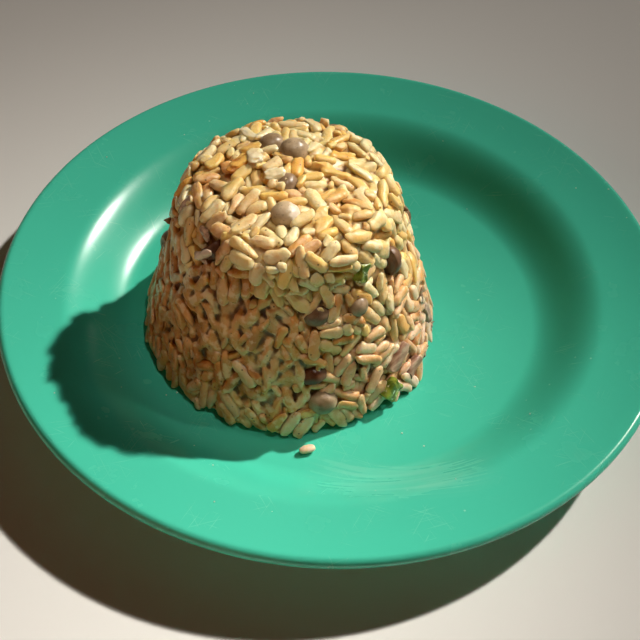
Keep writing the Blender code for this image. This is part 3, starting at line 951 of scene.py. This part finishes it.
def grain_shape(rng):
    """One grain form of unit half size along X: blunt, slightly bent, tapered and lumpy."""
    bm = bmesh.new()
    bmesh.ops.create_uvsphere(bm, u_segments=GRAIN_SIDES, v_segments=GRAIN_RINGS, radius=1.0)
    quarter = Matrix.Rotation(pi / 2, 3, "Y")
    bmesh.ops.rotate(bm, verts=bm.verts, cent=(0, 0, 0), matrix=quarter)
    blunt, full = rng.uniform(0.55, 0.80), rng.uniform(2.6, 4.6)
    bend, sway = rng.uniform(-0.30, 0.30), rng.uniform(-0.30, 0.30)
    taper, waist = rng.uniform(-0.22, 0.22), rng.uniform(-0.06, 0.12)
    square, corner = rng.uniform(0.02, 0.12), rng.uniform(-pi, pi)
    burst = 0.35 if rng.random() < 0.25 else 0.0
    seed = random_place(rng, 99)
    for vertex in bm.verts:
        x, y, z = vertex.co
        thick = hypot(y, z)
        x = (1.0 if x > 0 else -1.0) * abs(x) ** blunt
        girth = (1.0 - min(abs(x), 1.0) ** full) ** 0.45 if thick > 0.001 else 0.0
        girth *= (1.0 + taper * x) * (1.0 - waist * exp(-(x / 0.4) ** 2))
        girth *= 1.0 + square * cos(4 * atan2(z, y) - corner)
        tip = max(x, 0.0)
        ragged = 1.6 * (0.12 + burst * tip**2) * noise.noise(vertex.co * 1.8 + seed)
        girth *= 1.0 + ragged + 0.5 * burst * tip**3
        y, z = (y / thick * girth, z / thick * girth) if thick > 0.001 else (0.0, 0.0)
        x *= 1.0 - 0.25 * burst * abs(noise.noise(Vector((2.0 * y, 2.0 * z, 0.0)) + seed))
        vertex.co = (x, y + bend * (0.4 - x * x), z + 0.6 * sway * (0.4 - x * x))
    bm.verts.index_update()
    points = np.array([v.co for v in bm.verts])
    faces = [[v.index for v in face.verts] for face in bm.faces]
    bm.free()
    return points, faces


def region(point):
    """How pale the rice is at a point of the mound, and how browned: real browning with painted shade,
    most low on the left and front and in the hollows.
    """
    height = height_share(point)
    drift = DRIFT * noise.noise(point / DRIFT_SIZE + Vector((5.0, 0.0, 0.0)))
    right = ramp(cos(turn_off(point, RIGHT_TURN)), 0.2, 0.9)
    pale = ramp(height + drift, *PALE_BELOW) * (0.45 + 0.55 * right)
    browned_and_shaded = 0.95 * ramp(height - drift, *BROWNED_AND_SHADED_BELOW) * (1.0 - 0.8 * right)
    browned_and_shaded *= 1.0 - 0.7 * ramp(turn_off(point, PRESSED_TURN), *LESS_BROWNED_AND_SHADED_TURNS)
    browned_and_shaded *= 1.0 - 0.35 * ramp(height + 0.3 * drift, *FOOT_BELOW)
    # the hollows take full browning and painted shade
    return pale, min(browned_and_shaded + hollowed(point)[1], 1.0)


def placed(grains, shapes, rng):
    """All the points and faces of some grains, and what each point carries for its colour."""
    points, faces = [], []
    values = {"tone": [], "pale": [], "stain": [], "along": [], "crease": []}
    for spine, along, outward, surface, length, width, flat in grains:
        centre = Vector(spine[2])
        across = outward.cross(along).normalized()
        out = along.cross(across) * rng.uniform(0.80, 0.95)
        size = Matrix.Diagonal((0.5 * length, 0.5 * width, 0.5 * width))
        turn = Matrix((along, across, out)).transposed() @ size
        turn = turn @ Matrix.Rotation(rng.uniform(-pi, pi), 3, "X")
        local, local_faces = shapes[rng.randrange(len(shapes))]
        here = local @ np.array(turn).T + np.array(centre)
        bent = [noise.noise_vector(Vector(point) / WARP_SIZE) for point in here]
        here = here + WARP * np.array(bent)
        limit = FREE_HEIGHT + (PRESSED_HEIGHT - FREE_HEIGHT) * min(1.5 * flat, 1.0)
        over = np.maximum((here - np.array(surface)) @ np.array(outward) - limit, 0.0)
        here = here - PUSHED_BACK * over[:, None] * np.array(outward)
        faces += [[index + sum(map(len, points)) for index in face] for face in local_faces]
        points.append(here)
        pale, browned_and_shaded = region(centre)
        carried = {
            "tone": ramp(rng.gauss(0.50, TONE_SPREAD), 0.0, 1.0),
            "pale": pale,
            # real browning and painted shade, spread at random
            "stain": ramp(browned_and_shaded + rng.gauss(0.0, STAIN_AND_SHADE_SPREAD), 0.0, 1.0),
        }
        for key, value in carried.items():
            values[key].append(np.full(len(local), value))
        values["along"].append(np.abs(local[:, 0]))
        # how far a point lies below the surface, which sets the painted shade between grains
        below = (np.array(surface) - here) @ np.array(outward)
        values["crease"].append(np.clip((below - GAP_FROM) / GAP_DEPTH, 0.0, 1.0))
    points = np.concatenate(points)
    points[:, 2] = np.clip(points[:, 2], FLOOR_TOP + 0.00002, cad_highest.z - 0.00005)
    return points, faces, {key: np.concatenate(parts) for key, parts in values.items()}


def carry(mesh, values):
    """Give a mesh the values that its finish reads, one for each point."""
    for key, value in values.items():
        layer = mesh.attributes.new(key, "FLOAT", "POINT")
        layer.data.foreach_set("value", value.astype(np.float32))


def rice_object(name, points, faces, values, material):
    """A mesh object of rice that carries its colour values."""
    mesh = bpy.data.meshes.new(name)
    mesh.from_pydata(points.tolist(), [], faces)
    carry(mesh, values)
    return shown(name, mesh, material)


def core_mesh():
    """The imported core, sunk below the outer grains."""
    outline = [(r, z + MOUND_BASE) for r, z in core_outline()] + [(0.0, MOUND_BASE)]
    bm = turned(outline, CORE_STEPS, MOUND_CENTRE)
    bmesh.ops.subdivide_edges(bm, edges=bm.edges, cuts=1, use_grid_fill=True)
    bmesh.ops.recalc_face_normals(bm, faces=bm.faces)
    bm.normal_update()
    moves = []
    for vertex in bm.verts:
        clump = noise.noise(vertex.co / CORE_CLUMP_SIZE)
        clump += 0.5 * noise.noise(vertex.co / CORE_CRUMB_SIZE)
        sunk = CORE_SINK - CORE_RISE * pressed(vertex.co) - CORE_CLUMP * clump
        moves.append((vertex, vertex.normal * (lump(vertex.co) - sunk)))
    for vertex, move in moves:
        vertex.co += move
        vertex.co.z = max(vertex.co.z, MOUND_BASE)
    mesh = bpy.data.meshes.new("core")
    bm.to_mesh(mesh)
    bm.free()
    return mesh


def evaluated(thing):
    """The mesh of an object with its modifiers applied."""
    graph = bpy.context.evaluated_depsgraph_get()
    return bpy.data.meshes.new_from_object(thing.evaluated_get(graph))


def keep_largest_shell(bm):
    """Delete every closed shell but the one with the most vertices."""
    left, shells = set(bm.verts), []
    while left:
        shell, edge = set(), [next(iter(left))]
        while edge:
            vertex = edge.pop()
            if vertex not in shell:
                shell.add(vertex)
                edge += [e.other_vert(vertex) for e in vertex.link_edges]
        shells.append(shell)
        left -= shell
    shells.sort(key=len)
    for shell in shells[:-1]:
        bmesh.ops.delete(bm, geom=list(shell), context="VERTS")


def run_together(points, faces):
    """One skin over the stuck grains and the core, with soft creases, as arrays."""
    grains = bpy.data.meshes.new("grains")
    grains.from_pydata(points.tolist(), [], faces)
    bm = bmesh.new()
    bm.from_mesh(grains)
    bm.from_mesh(core_mesh())
    bm.to_mesh(grains)
    bm.free()
    thing = bpy.data.objects.new("grains", grains)
    bpy.context.scene.collection.objects.link(thing)
    skin = thing.modifiers.new("skin", "REMESH")
    skin.mode, skin.voxel_size = "VOXEL", STUCK_VOXEL
    soften = thing.modifiers.new("soften", "SMOOTH")
    soften.factor, soften.iterations = 0.5, 1
    mesh = evaluated(thing)
    bm = bmesh.new()
    bm.from_mesh(mesh)
    keep_largest_shell(bm)
    bmesh.ops.triangulate(bm, faces=bm.faces)
    share = min(STUCK_TRIANGLES / len(bm.faces), 1.0)
    bm.to_mesh(grains)
    bm.free()
    thing.modifiers.clear()
    fewer = thing.modifiers.new("fewer", "DECIMATE")
    fewer.ratio = share
    mesh = evaluated(thing)
    bpy.data.objects.remove(thing)
    return mesh


def creases(mesh):
    """How deep in a crease each point of a mesh lies, 0 to 1."""
    count = len(mesh.vertices)
    points, normals = np.empty(3 * count), np.empty(3 * count)
    mesh.vertices.foreach_get("co", points)
    mesh.vertices.foreach_get("normal", normals)
    points, normals = points.reshape(-1, 3), normals.reshape(-1, 3)
    edges = np.empty(2 * len(mesh.edges), dtype=np.int32)
    mesh.edges.foreach_get("vertices", edges)
    ends = np.concatenate([edges.reshape(-1, 2), edges.reshape(-1, 2)[:, ::-1]])
    share = np.bincount(ends[:, 0], minlength=count)

    def around(values):
        """The mean of the neighbours' values."""
        return np.bincount(ends[:, 0], weights=values[ends[:, 1]], minlength=count) / share

    level = points
    for _ in range(CREASE_PASSES):
        level = np.stack([around(level[:, i]) for i in range(3)], axis=1)
    deep = ((level - points) * normals).sum(1)
    return np.clip(around(deep) / CREASE_DEPTH, 0.0, 1.0)


def rice_finish(name):
    """Cooked rice: cream to gold, browned in patches, moist and faintly see-through. Painted shade
    darkens its creases and hollows, and its lower left and front.
    """
    finish = Finish(
        name, Subsurface_Weight=0.9, Subsurface_Scale=0.0013,
        Subsurface_Radius=(1.0, 0.88, 0.62), Specular_IOR_Level=0.42,
    )
    tone, pale, stain = (finish.attribute(key) for key in ("tone", "pale", "stain"))
    crease, along = finish.attribute("crease"), finish.attribute("along")
    shade = (tone + finish.mottle(0.0035, 3.0) - 0.5).step(0.2, 0.9)
    golden = finish.mix(GOLD_PALE, GOLD_DEEP, shade)
    wet = finish.mix(WET_PALE, WET_DEEP, shade)
    colour = finish.mix(golden, wet, pale)
    colour = finish.mix(colour, AMBER, tone.step(0.90, 0.98) * (1.0 - pale) * 0.65)
    colour = finish.mix(colour, VEIN, finish.mottle(0.0011, 3.0).step(0.46, 0.66) * 0.30)
    # real stock browning in patches, with painted shade: darker and redder low on the left and front
    browned_and_shaded = finish.mottle(0.008, 4.0).step(0.48, 0.70) * 0.40 + stain
    colour = finish.mix(colour, BROWNED_AND_SHADED, browned_and_shaded.least(1.0) * 0.86)
    stock = finish.mottle(0.0075, 5.0).step(0.50, 0.64) * stain
    colour = finish.mix(colour, STOCK, stock * 0.80)
    streaks = finish.mottle(0.0022, 5.0).step(0.50, 0.60) * stain
    colour = finish.mix(colour, STARCH, streaks * 0.45)
    colour = finish.mix(colour, TIP, (along ** 2.0).step(0.55, 1.0) * 0.25)
    # painted shade in the creases, and near black in deep holes where browned
    dark = finish.mix(GOLD_CREASE_SHADE, DARK_CREASE_SHADE, (stain + pale).step(0.0, 0.5))
    colour = finish.mix(colour, dark, crease.step(0.06, 0.62) * 0.92)
    hole_shade = crease.step(0.40, 0.85) * finish.mottle(0.0050, 2.0).step(0.52, 0.62)
    colour = finish.mix(colour, HOLE_SHADE, hole_shade * stain.step(0.2, 0.7) * 0.85)
    flecks = finish.specks(0.0021, 0.140) * finish.mottle(0.008, 2.0).step(0.44, 0.56)
    colour = finish.mix(colour, FLECK, flecks * 0.8)
    coarse = finish.bump(finish.mottle(0.0016, 2.0), 0.00022)
    relief = finish.bump(finish.mottle(0.0006, 3.0), 0.00012, coarse)
    moist = finish.mottle(0.0018, 3.0) * 0.34 + 0.15
    return finish.surface(Base_Color=colour, Roughness=moist, Normal=relief)


grain_shapes = [grain_shape(grain_draw) for _ in range(GRAIN_SHAPES)]
points, faces, values = placed(melted + deep, grain_shapes, grain_draw)
stuck_mesh = run_together(points, faces)
nearest = kdtree.KDTree(len(points))
for index, point in enumerate(points):
    nearest.insert(point, index)
nearest.balance()
owners = [nearest.find(vertex.co)[1] for vertex in stuck_mesh.vertices]
carried = {key: value[owners] for key, value in values.items() if key != "along"}
# how deep each point lies in a crease, for the painted shade there
carried["crease"] = creases(stuck_mesh)
carry(stuck_mesh, carried)
stuck = shown("rice_stuck", stuck_mesh, rice_finish("stuck_rice"))
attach(stuck, "root")
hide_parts("rice_mound")


# ---- The whole grains ----------------------------------------------------------------------
# The outer grains that kept their shape: golden on the top and the shoulder, paler and wetter
# at the foot.
grains = rice_object("rice_grains", *placed(free, grain_shapes, grain_draw), rice_finish("rice"))
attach(grains, "root")
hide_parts("rice_mound")


# ---- The broken grains ---------------------------------------------------------------------
# Grains that broke in the pot or under the spoon, wedged between the whole ones.
broken = rice_object(
    "rice_bits", *placed(bits, grain_shapes, grain_draw), rice_finish("broken_rice")
)
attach(broken, "root")
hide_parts("rice_mound")


# ---- The soft bits -------------------------------------------------------------------------
# Scraps of onion cooked glassy, and bits soaked amber in stock, wet and caught between grains.
SOFT_BITS = (
    # turn and spin in degrees, share of the path, size, amber share
    (125, 0.745, 100, (0.0062, 0.0030, 0.0022), 0.05),
    (152, 0.870, 40, (0.0062, 0.0046, 0.0022), 0.15),
    (-150, 0.945, 75, (0.0054, 0.0038, 0.0022), 0.10),
    (166, 0.828, 150, (0.0068, 0.0036, 0.0024), 1.00),
    (-82, 0.075, 8, (0.0076, 0.0026, 0.0018), 0.90),
    (-37, 0.372, 95, (0.0058, 0.0030, 0.0020), 0.35),
)
SOFT_RISE = 0.0001
SOFT_CURL = 0.0012
GLASSY_PALE = (0.92, 0.78, 0.54)
GLASSY_DEEP = (0.80, 0.66, 0.40)
SOAKED_PALE = (0.82, 0.45, 0.11)
SOAKED_DEEP = (0.52, 0.21, 0.045)


def frame_at(turn, share, spin, rise):
    """A frame on the mound: Z out of it, X turned by the spin from level."""
    point, outward = on_mound(turn, share)
    level, rising = tangents(outward)
    along = cos(spin) * level + sin(spin) * rising
    turned_frame = Matrix((along, outward.cross(along), outward)).transposed().to_4x4()
    return Matrix.Translation(point + outward * rise) @ turned_frame


def soft_flesh():
    """Onion cooked glassy to amber, wet and see-through."""
    finish = Finish(
        "soft_flesh", Subsurface_Weight=0.8, Subsurface_Scale=0.003,
        Subsurface_Radius=(1.0, 0.85, 0.60), Specular_IOR_Level=0.5,
    )
    cloud = finish.mottle(0.0020, 3.0)
    glassy = finish.mix(GLASSY_PALE, GLASSY_DEEP, cloud.step(0.35, 0.65))
    soaked = finish.mix(SOAKED_PALE, SOAKED_DEEP, cloud.step(0.35, 0.65))
    colour = finish.mix(glassy, soaked, finish.attribute("amber"))
    ridges = finish.bump(finish.mottle(0.0016, 1.0), 0.00015)
    return finish.surface(Base_Color=colour, Roughness=cloud * 0.25 + 0.10, Normal=ridges)


soft_draw = Random(8)
soft_bm = bmesh.new()
amber_layer = soft_bm.verts.layers.float.new("amber")
for turn, share, spin, size, amber in SOFT_BITS:
    older = len(soft_bm.verts)
    bmesh.ops.create_icosphere(soft_bm, subdivisions=4, radius=1.0)
    soft_bm.verts.ensure_lookup_table()
    new = soft_bm.verts[older:]
    seed = Vector((soft_draw.uniform(0, 50), soft_draw.uniform(0, 50), 0.0))
    for vertex in new:
        square = Vector([abs(c) ** 0.85 * (1.0 if c > 0 else -1.0) for c in vertex.co])
        ragged = 1.0 + 0.28 * noise.noise(vertex.co * 1.7 + seed)
        vertex.co = Vector([0.5 * side * c * ragged for side, c in zip(size, square)])
        vertex.co.z += SOFT_CURL * (vertex.co.x / size[0]) ** 2
        vertex[amber_layer] = amber
    place = frame_at(radians(turn), share, radians(spin), SOFT_RISE)
    bmesh.ops.transform(soft_bm, verts=new, matrix=place)
soft_bits = finished("soft_bits", soft_bm, soft_flesh())
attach(soft_bits, "root")
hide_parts("rice_mound")


# ---- The torn skins ------------------------------------------------------------------------
# Thin curls of pea skin that came off in the pot: dry and dark at the silhouette, wet and
# shining at the mouth of the fallen pea.
SKIN_THICK = 0.00022
TORN_SKINS = (
    # turn, share of the path, spin, length, width, rise, lift of the tip, curl across, paleness
    (-138, 0.560, 10, 0.0060, 0.0020, 0.0016, 0.0010, 0.9, 0.45),
    (-134, 0.596, 45, 0.0080, 0.0020, 0.0030, 0.0008, 0.9, 1.0),
    (-141, 0.640, -10, 0.0056, 0.0022, 0.0010, 0.0010, 0.6, 0.1),
    (174, 0.446, 20, 0.0050, 0.0026, 0.0002, 0.0022, 0.5, 0.0),
    (176, 0.333, 150, 0.0040, 0.0022, 0.0002, 0.0018, 0.5, 0.0),
    (-166, 0.640, 80, 0.0070, 0.0018, 0.0002, 0.0006, 0.9, 0.3),
    (8, 0.521, 170, 0.0040, 0.0016, 0.0002, 0.0010, 0.5, 0.0),
    (-6, 0.020, 20, 0.0036, 0.0018, 0.0004, 0.0010, 0.4, 0.0),
    (-20, 0.030, 40, 0.0032, 0.0014, 0.0004, 0.0008, 0.4, 0.0),
    (-12, 0.240, 75, 0.0050, 0.0014, 0.0003, 0.0008, 0.6, 0.3),
)
SKIN_BROWN = (0.48, 0.26, 0.14)
SKIN_DARK = (0.17, 0.075, 0.035)
SKIN_PALE = (0.78, 0.56, 0.40)

skin_bm = bmesh.new()
pale_layer = skin_bm.verts.layers.float.new("pale")
for turn, share, spin, length, width, rise, lift, curl, pale in TORN_SKINS:
    older = len(skin_bm.verts)
    bmesh.ops.create_grid(skin_bm, x_segments=16, y_segments=6, size=1.0)
    skin_bm.verts.ensure_lookup_table()
    new = skin_bm.verts[older:]
    for vertex in new:
        x, y, _ = vertex.co
        narrow = (1.0 - abs(x) ** 2.5) ** 0.5 if abs(x) < 1 else 0.0
        ragged = 1.0 + 0.35 * noise.noise(Vector((3.0 * x, 2.0 * y, 9.0 * turn)))
        bow = curl * 0.5 * width * (1.0 - y * y)
        wave = 0.25 * width * noise.noise(Vector((2.0 * x, 1.0 * y, 5.0 * share)))
        end = lift * max(x, 0.0) ** 2
        vertex.co = (0.5 * length * x, 0.5 * width * y * narrow * ragged, bow * narrow + end + wave)
        vertex[pale_layer] = pale
    place = frame_at(radians(turn), share, radians(spin), rise)
    bmesh.ops.transform(skin_bm, verts=new, matrix=place)
skin_finish = Finish("torn_skin")
skin_cloud = skin_finish.mottle(0.0016, 3.0)
skin_tint = skin_finish.mix(SKIN_BROWN, SKIN_DARK, skin_cloud.step(0.40, 0.62))
skin_tint = skin_finish.mix(skin_tint, SKIN_PALE, skin_finish.attribute("pale"))
skin_folds = skin_finish.bump(skin_finish.mottle(0.0008, 2.0), 0.0002)
skins = finished(
    "torn_skins", skin_bm,
    skin_finish.surface(Base_Color=skin_tint, Roughness=skin_cloud * 0.2 + 0.12, Normal=skin_folds),
)
thick = skins.modifiers.new("thick", "SOLIDIFY")
thick.thickness, thick.offset = SKIN_THICK, 0.0
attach(skins, "root")
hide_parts("rice_mound")


# ---- The loose bit of rice -----------------------------------------------------------------
# One broken bit dropped in front of the mound when the cup was lifted.
LOOSE_FIT = 0.94

bit_lie, bit_half = lie_of("loose_bit")
bit_form, bit_faces = grain_shape(Random(3))
bit_points = [bit_lie @ Vector(point * np.array(bit_half) * LOOSE_FIT) for point in bit_form]
bit_values = {"tone": 0.0, "pale": 1.0, "stain": 0.0}
bit_values = {key: np.full(len(bit_points), value) for key, value in bit_values.items()}
loose = rice_object(
    "loose_rice", np.array(bit_points), bit_faces, bit_values, rice_finish("loose_rice")
)
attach(loose, "root")
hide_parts("loose_bit")
